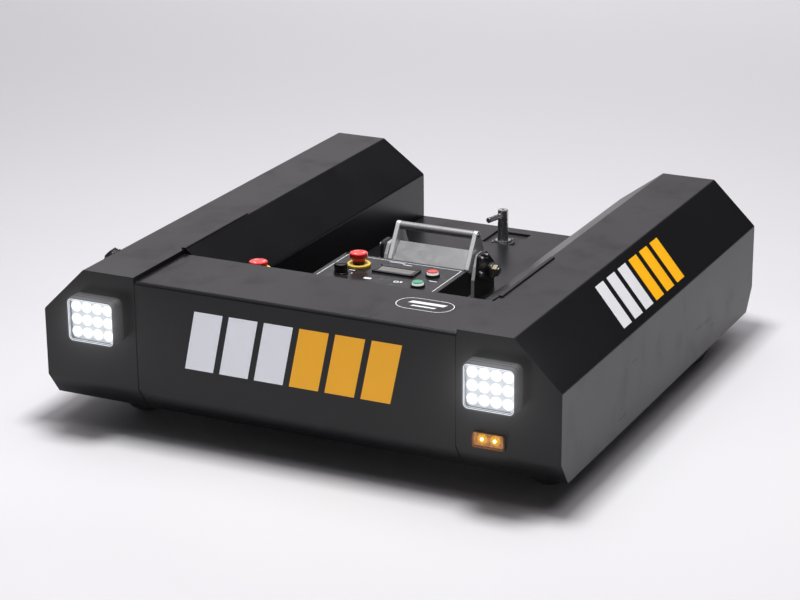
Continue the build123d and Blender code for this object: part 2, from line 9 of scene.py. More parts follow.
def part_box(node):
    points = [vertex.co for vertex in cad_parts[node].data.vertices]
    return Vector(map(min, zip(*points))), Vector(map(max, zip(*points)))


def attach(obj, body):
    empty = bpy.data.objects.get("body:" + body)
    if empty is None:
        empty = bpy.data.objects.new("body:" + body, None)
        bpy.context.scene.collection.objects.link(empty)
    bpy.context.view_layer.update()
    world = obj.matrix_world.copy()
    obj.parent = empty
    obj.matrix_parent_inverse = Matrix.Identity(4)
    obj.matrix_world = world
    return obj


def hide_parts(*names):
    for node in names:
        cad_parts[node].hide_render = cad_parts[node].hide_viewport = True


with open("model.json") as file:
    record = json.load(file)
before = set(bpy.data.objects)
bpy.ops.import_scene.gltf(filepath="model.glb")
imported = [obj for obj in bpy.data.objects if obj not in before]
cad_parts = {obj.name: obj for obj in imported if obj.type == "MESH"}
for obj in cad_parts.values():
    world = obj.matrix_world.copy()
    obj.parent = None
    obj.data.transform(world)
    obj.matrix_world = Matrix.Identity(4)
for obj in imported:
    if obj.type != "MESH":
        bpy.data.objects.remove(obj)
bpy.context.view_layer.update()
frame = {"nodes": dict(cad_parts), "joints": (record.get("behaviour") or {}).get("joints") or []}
MM = 0.001
INDEX = {"X": 0, "Y": 1, "Z": 2}

SIDES = (("left", -1), ("right", 1))
ACROSS = (1, 0, 0)
BACK = (0, 1, 0)
AHEAD = (0, -1, 0)
UP = (0, 0, 1)
DOWN = (0, 0, -1)


# Places are read from the frame, in millimetres: X across, Y rearwards, Z up from the floor

def corners_of(node):
    """A CAD node's lowest and highest corners."""
    return tuple([round(value / MM, 1) for value in corner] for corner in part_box(node))


def start_of(node, axis):
    """Where a CAD node begins along an axis."""
    return corners_of(node)[0][INDEX[axis]]


def end_of(node, axis):
    """Where a CAD node ends along an axis."""
    return corners_of(node)[1][INDEX[axis]]


def middle_of(node, *axes):
    """Where a CAD node's middle is, along each of these axes."""
    low, high = corners_of(node)
    return [round((low[INDEX[axis]] + high[INDEX[axis]]) / 2, 1) for axis in axes]


def turning_point(name):
    """Where a hinge has its axis."""
    joint = next(joint for joint in frame["joints"] if joint["name"] == name)
    return tuple(round(value / MM, 1) for value in joint["pos_m"])


FRONT = start_of("front_beam_cover", "Y")
HALF_WIDTH = end_of("pod_cover_right", "X")
CROWN = end_of("pod_cover_right", "Z")
SLOPE_RUN = 96.0
SLOPE_RISE = 94.0
DECK = end_of("deck_plate", "Z")
PANEL = end_of("console_panel", "Z")
PIVOT = turning_point("wheel_stop_tilt")
WHEEL = turning_point("drive_wheel_right_spin")
PIN = middle_of("tow_pin", "X", "Y")
LAMP_FACE = start_of("work_lamp_housing_right", "Y")
LENS_FACE = start_of("work_lamp_lens_right", "Y")
REFLECTOR_FACE = LAMP_FACE + 15
MARKER_FACE = FRONT - 4


# Hand tools

def clear():
    if bpy.context.object and bpy.context.object.mode == "EDIT":
        bpy.ops.object.mode_set(mode="OBJECT")
    bpy.ops.object.select_all(action="DESELECT")


def take(*pieces):
    clear()
    for piece in pieces:
        piece.select_set(True)
    bpy.context.view_layer.objects.active = pieces[0]


def settle(piece):
    """Work a piece's place, turn and size into its mesh."""
    take(piece)
    bpy.ops.object.transform_apply(location=True, rotation=True, scale=True)
    return piece


def name_in_hand(name):
    """Name the piece that an operator has just made, and settle it."""
    piece = bpy.context.object
    piece.name = name
    piece.data.name = name
    return settle(piece)


def stand(piece, place):
    """Put a piece that was shaped at the origin in its place."""
    piece.matrix_world = place
    return settle(piece)


def seat(origin, toward, along=None):
    """A place whose Z points toward, and whose X runs along, at origin."""
    upright = Vector(toward).normalized()
    if along is None:
        turn = upright.to_track_quat("Z", "Y").to_matrix()
    else:
        across = Vector(along).normalized()
        turn = Matrix((across, upright.cross(across), upright)).transposed()
    return Matrix.Translation(Vector(origin) * MM) @ turn.to_4x4()


def on(axis, value, reach=0.05):
    """Rule: every corner of a face or edge lies at this value on the axis."""
    index = INDEX[axis]
    return lambda item: all(abs(corner.co[index] / MM - value) < reach for corner in item.verts)


def running(axis):
    """Rule: an edge runs along the axis."""
    index = INDEX[axis]
    return lambda edge: abs((edge.verts[1].co - edge.verts[0].co)[index]) > 0.999 * edge.calc_length()


def centred(axis, value, reach):
    """Rule: a face's middle lies within reach of this value on the axis."""
    index = INDEX[axis]
    return lambda face: abs(face.calc_center_median()[index] / MM - value) < reach


def facing(axis, way):
    """Rule: a face looks along the axis for 1, against it for -1."""
    index = INDEX[axis]
    return lambda face: face.normal[index] * way > 0.9


def flank(axis):
    """Rule: a face runs along the axis."""
    index = INDEX[axis]
    return lambda face: abs(face.normal[index]) < 0.1


def both(first, second):
    return lambda item: first(item) and second(item)


def whole(item):
    """Rule: every face, edge or corner."""
    return True


def pick(piece, kind, rule):
    """Open a piece in edit mode with the faces, edges or corners that meet the rule selected."""
    take(piece)
    bpy.ops.object.mode_set(mode="EDIT")
    bpy.ops.mesh.select_mode(type=kind)
    bpy.ops.mesh.select_all(action="DESELECT")
    mesh = bmesh.from_edit_mesh(piece.data)
    for item in {"FACE": mesh.faces, "EDGE": mesh.edges, "VERT": mesh.verts}[kind]:
        if rule(item):
            item.select_set(True)
    mesh.select_flush_mode()
    bmesh.update_edit_mesh(piece.data)


def done():
    bpy.ops.object.mode_set(mode="OBJECT")


def face_outward(piece):
    pick(piece, "FACE", whole)
    bpy.ops.mesh.normals_make_consistent(inside=False)
    done()


def inset(width):
    bpy.ops.mesh.inset(thickness=width * MM, depth=0)


def pull(x=0, y=0, z=0):
    bpy.ops.mesh.extrude_region_move(TRANSFORM_OT_translate={"value": (x * MM, y * MM, z * MM)})


def swell(distance):
    bpy.ops.mesh.extrude_region_shrink_fatten(TRANSFORM_OT_shrink_fatten={"value": distance * MM})


def bevel(width, steps=4, corners="EDGES"):
    bpy.ops.mesh.bevel(offset=width * MM, segments=steps, affect=corners)


def slice_at(piece, axis, values):
    """Cut a piece's skin square across the axis, leaving it whole."""
    normal = [0, 0, 0]
    normal[INDEX[axis]] = 1
    for value in values:
        pick(piece, "FACE", whole)
        bpy.ops.mesh.bisect(plane_co=Vector(normal) * value * MM, plane_no=normal)
        done()


def smooth(piece, angle=34):
    take(piece)
    bpy.ops.object.shade_smooth_by_angle(angle=math.radians(angle))
    weigh = piece.modifiers.new("weigh", "WEIGHTED_NORMAL")
    weigh.keep_sharp = True
    bpy.ops.object.modifier_apply(modifier="weigh")
    return piece


def ease(piece, width=0.8, steps=2, angle=38):
    """Round the sharp edges of a piece a little and smooth its skin."""
    take(piece)
    rounding = piece.modifiers.new("edges", "BEVEL")
    rounding.width = width * MM
    rounding.segments = steps
    rounding.limit_method = "ANGLE"
    rounding.angle_limit = math.radians(angle)
    bpy.ops.object.modifier_apply(modifier="edges")
    return smooth(piece)


def block(name, low, high):
    clear()
    low, high = Vector(low) * MM, Vector(high) * MM
    bpy.ops.mesh.primitive_cube_add(size=1, location=(low + high) / 2)
    bpy.context.object.scale = high - low
    return name_in_hand(name)


def rounded_block(name, low, high, axis, radius, steps=4):
    """A block whose edges along one axis are rounded."""
    piece = block(name, low, high)
    pick(piece, "EDGE", running(axis))
    bevel(radius, steps)
    done()
    return piece


def slab(name, x, z, wide, high, front, back, radius, steps=4):
    """A rounded block on the machine's front: its middle, its size, and where it begins and ends."""
    low = (x - wide / 2, front, z - high / 2)
    return rounded_block(name, low, (x + wide / 2, back, z + high / 2), "Y", radius, steps)


def turned(name, origin, profile, toward=UP, sides=48):
    """A piece as off a lathe: rings of radius and height, drawn up one after the other."""
    clear()
    radius, height = profile[0]
    bpy.ops.mesh.primitive_circle_add(
        vertices=sides, radius=radius * MM, fill_type="NGON", location=(0, 0, height * MM))
    piece = name_in_hand(name)
    pick(piece, "FACE", whole)
    for wide, high in profile[1:]:
        pull(z=high - height)
        if wide != radius:
            share = wide / radius
            bpy.ops.transform.resize(value=(share, share, 1), center_override=(0, 0, 0))
        radius, height = wide, high
    bpy.ops.mesh.select_all(action="SELECT")
    bpy.ops.mesh.normals_make_consistent(inside=False)
    done()
    return stand(piece, seat(origin, toward))


def hoop(name, origin, profile, toward=UP, sides=48):
    """A lathe piece with a bore: its profile comes back to where it starts."""
    piece = turned(name, (0, 0, 0), profile, UP, sides)
    pick(piece, "FACE", lambda face: len(face.verts) == sides)
    bpy.ops.mesh.delete(type="ONLY_FACE")
    bpy.ops.mesh.select_all(action="SELECT")
    bpy.ops.mesh.remove_doubles(threshold=0.00001)
    bpy.ops.mesh.normals_make_consistent(inside=False)
    done()
    return stand(piece, seat(origin, toward))


def plate(name, width, height, thick, place, lean=0, corner=0, line=0):
    """A thin sheet mark or plate: leaning, with rounded corners, or only its outline."""
    clear()
    bpy.ops.mesh.primitive_plane_add(size=1)
    bpy.context.object.scale = (width * MM, height * MM, 1)
    piece = name_in_hand(name)
    if lean:
        pick(piece, "VERT", lambda point: point.co.y > 0)
        bpy.ops.transform.translate(value=(lean * MM, 0, 0))
        done()
    if corner:
        pick(piece, "VERT", whole)
        bevel(corner, 5, "VERTICES")
        done()
    pick(piece, "FACE", whole)
    if line:
        inset(line)
        bpy.ops.mesh.delete(type="FACE")
        bpy.ops.mesh.select_all(action="SELECT")
    pull(z=thick)
    bpy.ops.mesh.select_all(action="SELECT")
    bpy.ops.mesh.normals_make_consistent(inside=False)
    done()
    return stand(piece, place)


def copies(piece, places):
    """The piece and a copy of it at each place, a move from where the first one is, as one piece."""
    made = [piece]
    for place in places:
        take(piece)
        bpy.ops.object.duplicate()
        made.append(stand(bpy.context.object, place))
    take(*made)
    bpy.ops.object.join()
    return piece


def moved(x=0, y=0, z=0):
    return Matrix.Translation(Vector((x, y, z)) * MM)


def spun(centre, axis, degrees):
    middle = Vector(centre) * MM
    turn = Matrix.Rotation(math.radians(degrees), 4, axis)
    return Matrix.Translation(middle) @ turn @ Matrix.Translation(-middle)


def around(piece, centre, axis, count):
    return copies(piece, [spun(centre, axis, 360 * k / count) for k in range(1, count)])


def joined(*pieces):
    take(*pieces)
    bpy.ops.object.join()
    return pieces[0]


def mirrored(piece, name):
    """The same piece for the other side of the machine."""
    take(piece)
    bpy.ops.object.duplicate()
    twin = bpy.context.object
    twin.scale = (-1, 1, 1)
    face_outward(name_in_hand(name))
    return twin


def copy_of(node, name=None):
    """A merged copy of a CAD node with its flat faces made whole, ready for rounding."""
    clear()
    piece = bpy.data.objects.new(name or node + "_shape", frame["nodes"][node].data.copy())
    bpy.context.scene.collection.objects.link(piece)
    pick(piece, "FACE", whole)
    bpy.ops.mesh.remove_doubles(threshold=0.00002)
    bpy.ops.mesh.dissolve_limited(angle_limit=math.radians(0.5))
    done()
    return piece


def fit(piece, finish, body="chassis", instead=()):
    """Give a piece its finish and its body, and hide the nodes that it stands in for."""
    piece.data.materials.clear()
    piece.data.materials.append(finish)
    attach(piece, body)
    if instead:
        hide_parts(*instead)
    return piece


def reshaped(node, finish, body="chassis", width=0.8, steps=2):
    return fit(ease(copy_of(node), width, steps), finish, body, (node,))


# Finishes

class Wire:
    """A node's output: working with it adds Math nodes."""

    def __init__(self, coat, socket):
        self.coat = coat
        self.socket = socket

    def work(self, operation, first, second):
        return self.coat.add("Math", {"operation": operation}, {0: first, 1: second})

    def __add__(self, other):
        return self.work("ADD", self, other)

    def __sub__(self, other):
        return self.work("SUBTRACT", self, other)

    def __rsub__(self, other):
        return self.work("SUBTRACT", other, self)

    def __mul__(self, other):
        return self.work("MULTIPLY", self, other)

    def spread(self, low, high):
        """0 at low, 1 at high, held between."""
        return self.coat.add("MapRange", {"clamp": True}, {0: self, 1: low, 2: high, 3: 0.0, 4: 1.0})


class Nodes:
    """A node tree that is built by working with its wires."""

    def __init__(self, holder):
        holder.use_nodes = True
        self.tree = holder.node_tree

    def feed(self, socket, value):
        if isinstance(value, Wire):
            self.tree.links.new(value.socket, socket)
        elif socket.type == "RGBA":
            socket.default_value = (*value[:3], 1)
        else:
            socket.default_value = value

    def add(self, kind, settings=None, sockets=None, out=0):
        node = self.tree.nodes.new("ShaderNode" + kind)
        for name, value in (settings or {}).items():
            setattr(node, name, value)
        for key, value in (sockets or {}).items():
            self.feed(node.inputs[key], value)
        return Wire(self, node.outputs[out])

    def mix(self, share, first, second):
        return self.add("Mix", {"data_type": "RGBA"}, {0: share, 6: first, 7: second}, out=2)


class Coat(Nodes):
    """One finish: its Principled shader and the nodes that feed it."""

    def __init__(self, name, **constants):
        self.material = bpy.data.materials.new(name)
        super().__init__(self.material)
        self.shader = self.tree.nodes["Principled BSDF"]
        self.set(**constants)

    def set(self, **values):
        for name, value in values.items():
            self.feed(self.shader.inputs[name.replace("_", " ")], value)

    def place(self, scale=(1, 1, 1), origin=(0, 0, 0)):
        spot = self.add("TexCoord", out=3)
        shift = tuple(-value * MM * size for value, size in zip(origin, scale))
        return self.add("Mapping", {}, {0: spot, 1: shift, 3: scale})

    def noise(self, scale, detail=3.0, rough=0.55, stretch=(1, 1, 1)):
        return self.add("TexNoise", {}, {0: self.place(stretch), 2: scale, 3: detail, 4: rough})

    def height(self, value, depth, strength=1.0):
        self.set(Normal=self.add("Bump", {}, {0: strength, 1: depth * MM, "Height": value}))


def scaled(colour, share):
    return tuple(min(1.0, value * share) for value in colour)


def powder_coat(name, colour, rough=0.42, peel=0.06, grain=520, dust=0.35, specular=0.5):
    """Baked coat: fine orange peel, faint clouding, finger smudges and dust low down."""
    coat = Coat(name, Specular_IOR_Level=specular)
    cloud = coat.noise(5, 4)
    smudge = coat.noise(11, 5, 0.65, (1, 1, 0.6)).spread(0.52, 0.74)
    scuff = coat.noise(90, 2, 0.5, (1, 0.12, 1)).spread(0.68, 0.76)
    low = 1 - coat.add("SeparateXYZ", {}, {0: coat.place()}, out=2).spread(0.045, 0.16)
    film = low * coat.noise(26, 6, 0.7).spread(0.35, 0.75) * dust
    tone = coat.mix(cloud.spread(0.3, 0.7), scaled(colour, 0.82), scaled(colour, 1.2))
    tone = coat.mix(scuff * 0.35, tone, scaled(colour, 2.2))
    coat.set(
        Base_Color=coat.mix(film, tone, (0.16, 0.15, 0.14)),
        Roughness=cloud * 0.08 + (rough - 0.04) + smudge * 0.07 + film * 0.3 + scuff * 0.08,
    )
    coat.height(coat.noise(grain, 2) + coat.noise(grain * 2.6, 1) * 0.4, peel)
    return coat.material


def metal(name, colour, rough, brush, wear, metallic=1.0, depth=0.02):
    """Bare or plated metal: tool lines along one way, stains and dull patches."""
    coat = Coat(name)
    lines = coat.noise(260, 3, 0.6, brush)
    stain = coat.noise(38, 5, 0.6).spread(0.5, 0.72)
    tone = coat.mix(lines.spread(0.3, 0.7), scaled(colour, 0.86), scaled(colour, 1.12))
    coat.set(
        Base_Color=coat.mix(stain * wear, tone, scaled(colour, 0.35)),
        Metallic=metallic - stain * wear * 0.3,
        Roughness=lines * 0.12 + (rough - 0.06) + stain * 0.16,
    )
    coat.height(lines, depth)
    return coat.material


def moulded(name, colour, rough=0.38, grain=900, depth=0.012, patch=0.12, specular=0.5, coating=0.0):
    """Moulded plastic: fine spark grain, a little bleaching and handling shine."""
    coat = Coat(name, Specular_IOR_Level=specular, Coat_Roughness=0.12, Coat_Weight=coating)
    cloud = coat.noise(40, 3)
    shine = coat.noise(70, 4).spread(0.5, 0.7)
    coat.set(
        Base_Color=coat.mix(cloud.spread(0.35, 0.65), scaled(colour, 1 - patch), scaled(colour, 1 + patch)),
        Roughness=cloud * 0.1 + (rough - 0.05) - shine * 0.08,
    )
    coat.height(coat.noise(grain, 2), depth)
    return coat.material


def rubber(name, colour, rough=0.72, dust=0.3, grain=420):
    """Rubber: matt, finely pitted, grey dust in its pores."""
    coat = Coat(name, Specular_IOR_Level=0.35)
    pore = coat.noise(grain, 4, 0.6)
    dusty = coat.noise(24, 5, 0.65).spread(0.42, 0.7) * dust
    tone = coat.mix(pore, scaled(colour, 0.8), scaled(colour, 1.25))
    coat.set(
        Base_Color=coat.mix(dusty, tone, (0.13, 0.125, 0.12)),
        Roughness=pore * 0.12 + (rough - 0.06) + dusty * 0.1,
    )
    coat.height(pore, 0.05)
    return coat.material


def print_ink(name, colour, glow=0.0):
    """Cut vinyl: even and satin, with a few pinholes and a slight haze; its faint glow is painted light that
    brightens it.
    """
    coat = Coat(name, Specular_IOR_Level=0.4, Emission_Color=colour, Emission_Strength=glow)
    haze = coat.noise(30, 4)
    pinhole = coat.noise(620, 2).spread(0.76, 0.8)
    film = coat.mix(haze, scaled(colour, 0.93), scaled(colour, 1.04))
    coat.set(
        Base_Color=coat.mix(pinhole, film, (0.025, 0.026, 0.028)),
        Roughness=haze * 0.12 + 0.38,
    )
    coat.height(coat.noise(300, 2), 0.01)
    return coat.material


def lit(name, colour, strength, level, fade, faint, base, axis="Y", mottle=0.0):
    """Lit from within: brightest at a level on the axis, faint after the fade, mottled by its facets. On the
    button skirts, which hold no lamp, the glow is painted light.
    """
    coat = Coat(name, Emission_Strength=strength, Specular_IOR_Level=0.5)
    origin = [0, 0, 0]
    origin[INDEX[axis]] = level
    run = coat.add("SeparateXYZ", {}, {0: coat.place((1, 1, 1), origin)}, out=INDEX[axis])
    flecks = coat.noise(160, 3)
    facets = coat.noise(230, 2, 0.4).spread(0.38, 0.6)
    share = run.spread(fade * MM, 0.0) * (1 - facets * mottle)
    coat.set(
        Base_Color=coat.mix(flecks, scaled(base, 0.9), base),
        Emission_Color=coat.mix(share, scaled(colour, faint), colour),
        Roughness=flecks * 0.15 + 0.15,
    )
    return coat.material


def lens_clear(name, colour, see, edge, rough, glow=(0, 0, 0), strength=0.0):
    """Clear cover: see-through square on, glossier and denser at a glance."""
    coat = Coat(name, IOR=1.49, Emission_Strength=strength)
    glance = coat.add("Fresnel", {}, {0: 1.45})
    flow = coat.noise(60, 3)
    coat.set(
        Base_Color=coat.mix(flow, scaled(colour, 0.95), colour),
        Alpha=glance * edge + see + flow * 0.04,
        Roughness=flow * 0.05 + rough,
        Emission_Color=glow,
    )
    coat.height(coat.noise(120, 2), 0.01)
    return coat.material


POD = powder_coat("pod_coat", (0.0052, 0.0049, 0.0066), 0.31, dust=0.04, specular=0.34)
DECK_COAT = powder_coat("deck_coat", (0.0085, 0.0082, 0.0098), 0.36, 0.03, 380, 0.2)
BRACKET = metal("bracket_grey", (0.5, 0.5, 0.51), 0.42, (1, 12, 1), 0.12, 0.1)
CHASSIS = powder_coat("chassis_coat", (0.014, 0.014, 0.015), 0.46, 0.07, 460, 0.5)
CONSOLE = powder_coat("console_coat", (0.0125, 0.0126, 0.0138), 0.40, 0.04, 600, 0.1)
GEAR = powder_coat("gearbox_coat", (0.06, 0.06, 0.064), 0.5, 0.12, 260, 0.5)
RIM = powder_coat("rim_coat", (0.2, 0.2, 0.205), 0.42, 0.05, 400, 0.4)
LAMP_BLACK = powder_coat("lamp_coat", (0.085, 0.085, 0.09), 0.55, 0.05, 700, 0.0)
LAMINATE = moulded("panel_laminate", (0.016, 0.0165, 0.018), 0.36, 1500, 0.008, 0.1)
# The wheel stop's plate, bar and arms are one grey steel in three copies: the arms' copy is painted lighter
# and the plate's and bar's darker, painted light and shade for how light falls on each.
STOP = metal("stop_grey", (0.33, 0.33, 0.34), 0.4, (12, 1, 1), 0.12, 0.85)
STOP_BAR = metal("stop_bar_grey", (0.38, 0.38, 0.39), 0.54, (1, 12, 12), 0.12, 0.8)
STOP_ARM_LIGHTENED = metal("stop_arm_grey_lightened", (0.84, 0.84, 0.85), 0.4, (1, 1, 12), 0.12, 0.7)
IRON = powder_coat("bearing_iron", (0.012, 0.012, 0.0125), 0.38, 0.16, 220, 0.1)
BRIGHT = metal("bright_steel", (0.62, 0.62, 0.63), 0.22, (1, 1, 10), 0.2)
ZINC = metal("zinc_gold", (0.27, 0.235, 0.16), 0.5, (1, 1, 6), 0.35, 0.8)
PIN_STEEL = metal("pin_steel", (0.56, 0.56, 0.57), 0.22, (1, 1, 14), 0.5, 0.95)
CASTOR_ZINC = metal("castor_zinc", (0.55, 0.56, 0.56), 0.36, (3, 1, 1), 0.3)
JAW = metal("jaw_steel", (0.09, 0.088, 0.086), 0.5, (8, 1, 1), 0.5, 0.7, 0.05)
RED = moulded("head_red", (0.82, 0.03, 0.022), 0.3, 900, 0.01, 0.08, 0.5, 0.15)
RED_CAP = moulded("cap_red", (0.72, 0.05, 0.035), 0.24, 900, 0.006, 0.08)
GREEN_CAP = moulded("cap_green", (0.05, 0.36, 0.2), 0.24, 900, 0.006, 0.08)
# SKIRT glows: painted light that brightens the white button skirts, whose sides lie in shade.
SKIRT = lit("cap_skirt", (0.92, 0.96, 0.95), 0.62, PANEL, 14.0, 0.9, (0.8, 0.82, 0.8), "Z")
YELLOW = moulded("ring_yellow", (0.86, 0.60, 0.07), 0.38, 900, 0.012, 0.08)
BLACK = moulded("moulded_black", (0.012, 0.012, 0.0125), 0.34, 800, 0.02, 0.2)
SOCKET = moulded("socket_black", (0.016, 0.016, 0.017), 0.48, 500, 0.04, 0.2)
STEM = moulded("stem_brown", (0.09, 0.018, 0.012), 0.4)
SCREEN = moulded("screen_grey", (0.125, 0.122, 0.105), 0.2, 2200, 0.004, 0.06)
BATTERY = moulded("battery_case", (0.03, 0.03, 0.034), 0.5, 340, 0.06, 0.2)
STRIP = powder_coat("strip_satin", (0.008, 0.0078, 0.0088), 0.34, 0.02, 500, 0.1, 0.36)
TYRE = rubber("tyre_rubber", (0.016, 0.016, 0.016), 0.76, 0.45, 300)
CASTOR_RUBBER = rubber("castor_rubber", (0.02, 0.02, 0.02), 0.6, 0.4, 300)
NYLON = moulded("castor_core", (0.08, 0.08, 0.085), 0.45, 300, 0.05, 0.2)
# The prints and vinyl glow a little: painted light. The front vinyl glows more than the same vinyl on the
# slope, a lit and a shaded copy of one film.
WHITE_INK = print_ink("white_print", (0.84, 0.85, 0.88), 0.1)
WHITE_VINYL = print_ink("white_vinyl", (0.80, 0.82, 0.88), 0.3)
AMBER_VINYL = print_ink("amber_vinyl", (0.90, 0.42, 0.014), 0.34)
WHITE_SLOPE = print_ink("white_slope_vinyl", (0.82, 0.83, 0.85), 0.05)
AMBER_SLOPE = print_ink("amber_slope_vinyl", (0.98, 0.47, 0.005), 0.16)
GLASS_BASE = (0.7, 0.72, 0.76)
REFLECTOR = lit("lamp_reflector", (0.84, 0.9, 0.97), 0.48, REFLECTOR_FACE, -3.0, 0.9, (0.16, 0.17, 0.18))
CUP = lit("lamp_cup", (1, 1, 1), 0.9, REFLECTOR_FACE, -6.4, 0.8, (0.3, 0.31, 0.33))
LED = lit("lamp_led", (1, 1, 1), 6.5, REFLECTOR_FACE, -6.0, 0.9, GLASS_BASE)
EDGE_GLOW = lit("lens_edge", (0.86, 0.92, 1.0), 0.7, LENS_FACE, -3.0, 0.8, GLASS_BASE)
LENS = lens_clear("lamp_lens", (0.9, 0.94, 1.0), 0.05, 0.45, 0.05)
AMBER = lens_clear("marker_lens", (0.5, 0.2, 0.03), 0.16, 0.4, 0.1, (1.0, 0.42, 0.04), 0.05)
AMBER_LED = lit("marker_led", (1.0, 0.85, 0.42), 5.0, MARKER_FACE, -6.0, 0.8, (0.9, 0.5, 0.1))
AMBER_BOWL = lit(
    "marker_bowl", (1.0, 0.56, 0.03), 1.15, MARKER_FACE, -4.0, 0.3, (0.5, 0.25, 0.02), mottle=0.75)
AMBER_BACK = lit(
    "marker_back", (0.95, 0.42, 0.14), 0.5, MARKER_FACE, -3.0, 0.22, (0.4, 0.17, 0.05), mottle=0.9)


# Small fasteners

def cap_screw(name, origin, toward, radius=4.0, high=3.4, sides=14):
    return turned(name, origin, [
        (radius, 0), (radius, high * 0.62), (radius * 0.86, high),
        (radius * 0.52, high), (radius * 0.46, high * 0.35),
    ], toward, sides)


def hex_nut(name, origin, toward, radius, high):
    return turned(name, origin, [
        (radius * 0.93, 0), (radius, high * 0.1), (radius, high * 0.88), (radius * 0.9, high),
    ], toward, 6)


# Pods and front beam: bent sheet with its edges just broken, and a flange in each seam
def build_covers():
    for node in ("pod_cover_left", "pod_cover_right", "front_beam_cover"):
        reshaped(node, POD, "chassis", 1.2, 3)
    seam = end_of("front_beam_cover", "X")
    flange = block("seam_flange_right", (seam - 0.4, FRONT + 1.2, 100), (seam + 2.4, FRONT + 5, 320))
    fit(joined(flange, mirrored(flange, "seam_flange_left")), POD)


def slope_outward(sign):
    """The way a pod's upper slope faces: 1 is the right pod, -1 the left."""
    return Vector((sign * SLOPE_RISE, 0, SLOPE_RUN)) / math.hypot(SLOPE_RUN, SLOPE_RISE)


# Vinyl bars where the photograph shows lettering, in its two colours, and a blank badge
def build_vinyl():
    front = seat((0, FRONT, 223.5), AHEAD, ACROSS)
    slope = seat((512.8, 0, 286.2), slope_outward(1), BACK)
    for name, place, start, step, wide, high, lean, finishes in (
        ("front", front, -206, 77, 63, 122, 26, (WHITE_VINYL, AMBER_VINYL)),
        ("slope", slope, -170, 60, 42, 98, 20, (WHITE_SLOPE, AMBER_SLOPE)),
    ):
        for first, colour, finish in ((0, "white", finishes[0]), (3, "amber", finishes[1])):
            bars = [plate(f"{name}_bar_{k}", wide, high, 0.25, place @ moved(start + k * step), lean)
                    for k in range(first, first + 3)]
            fit(joined(*bars), finish).name = f"{name}_bars_{colour}"
    badge = seat((229, -417, end_of("front_beam_cover", "Z")), UP, ACROSS)
    marks = [plate("beam_badge", 118, 62, 0.2, badge, 0, 30, 1.6)]
    marks.append(plate("badge_stripe", 74, 12, 0.2, badge @ moved(0, 8), 5))
    marks.append(plate("badge_stripe_low", 50, 6, 0.2, badge @ moved(0, -11), 3))
    fit(joined(*marks), WHITE_INK)


# Work lamps: grooved housing, lit cups in a reflector, clear cover
def build_work_lamp(side):
    node = f"work_lamp_housing_{side}"
    x, z = middle_of(node, "X", "Z")
    housing = rounded_block(f"work_lamp_body_{side}", *corners_of(node), "Y", 12, 6)
    grooves = (LAMP_FACE + 15, LAMP_FACE + 25)
    slice_at(housing, "Y", [groove + edge for groove in grooves for edge in (-1.5, 1.5)])
    for groove in grooves:
        pick(housing, "FACE", both(centred("Y", groove, 1), flank("Y")))
        swell(-1.4)
        done()
    pick(housing, "FACE", both(on("Y", LAMP_FACE), facing("Y", -1)))
    inset(2.2)
    pull(y=24)
    done()
    fit(ease(housing, 0.7, 2), LAMP_BLACK, instead=(node,))

    back = slab(f"lamp_reflector_{side}", x, z, 101.6, 87.6, REFLECTOR_FACE, REFLECTOR_FACE + 3, 9)
    fit(ease(back, 0.5, 1), REFLECTOR)
    columns, rows, across, up = 4, 3, 24.2, 26.5
    corner = (x - 1.5 * across, REFLECTOR_FACE, z - up)
    grid = [moved(k * across, 0, row * up) for k in range(columns) for row in range(rows) if k or row]
    cup = hoop(f"lamp_cups_{side}", corner, [
        (6.2, 0), (10.6, 6.4), (11.6, 6.4), (7.6, 0), (6.2, 0),
    ], AHEAD, 24)
    fit(smooth(copies(cup, grid)), CUP)
    led = turned(f"lamp_leds_{side}", corner, [
        (6.0, 0), (6.0, 1.4), (5.2, 3.2), (3.4, 4.4), (1.0, 5.0),
    ], AHEAD, 18)
    fit(smooth(copies(led, grid), 60), LED)

    cover = slab(f"lamp_cover_{side}", x, z, 102.4, 88.4, LAMP_FACE + 1.6, LAMP_FACE + 4, 9.6, 5)
    fit(ease(cover, 0.6, 2), LENS, instead=(f"work_lamp_lens_{side}",))
    face = seat((x, LAMP_FACE + 1.6, z), AHEAD, ACROSS)
    outer = plate(f"lamp_cover_edge_{side}", 101.6, 87.6, 0.8, face, 0, 9.3, 1.3)
    inner = plate("inner_edge", 95.4, 81.4, 0.5, face, 0, 6.5, 0.8)
    fit(joined(outer, inner), EDGE_GLOW)


# Amber marker lamp: two lights behind a ribbed cover, a little above and beside its base's middle
def build_marker_lamp():
    x, z = middle_of("marker_lamp_base", "X", "Z")
    base_face, bowl_face, cover_face = FRONT - 3.6, FRONT - 4.2, FRONT - 12.2
    base = slab("marker_base", x, z, 66, 31, base_face, FRONT, 4)
    fit(ease(base, 0.8, 2), BLACK, instead=("marker_lamp_base",))
    z += 2.4
    back = plate("marker_reflector", 60, 25, 0.6, seat((x, base_face, z), AHEAD, ACROSS), 0, 3)
    fit(back, AMBER_BACK)
    bowl = turned("marker_bowls", (x - 12, bowl_face, z + 2.2), [
        (9.8, 0), (9.8, 1), (8.8, 2.4), (5.2, 1.8), (3, 1.6),
    ], AHEAD, 28)
    fit(smooth(copies(bowl, [moved(26)]), 60), AMBER_BOWL)
    led = turned("marker_lights", (x - 12, bowl_face, z + 1.4), [
        (3, 0), (3, 3.4), (2.4, 4.8), (0.8, 5.4),
    ], AHEAD, 18)
    fit(smooth(copies(led, [moved(26)]), 60), AMBER_LED)
    x += 1.4
    cover = slab("marker_cover", x, z + 0.1, 62.8, 28, cover_face, base_face, 4)
    first, step = 27, 2.2
    slice_at(cover, "X", [x + side * (first - step * k) for side in (-1, 1) for k in range(5)])
    for k in range(0, 5, 2):
        for side in (-1, 1):
            rib = x + side * (first - step * (k + 0.5))
            pick(cover, "FACE", both(centred("X", rib, 0.5), facing("Y", -1)))
            pull(y=-0.7)
            done()
    fit(ease(cover, 0.4, 1), AMBER, instead=("marker_lamp_lens",))


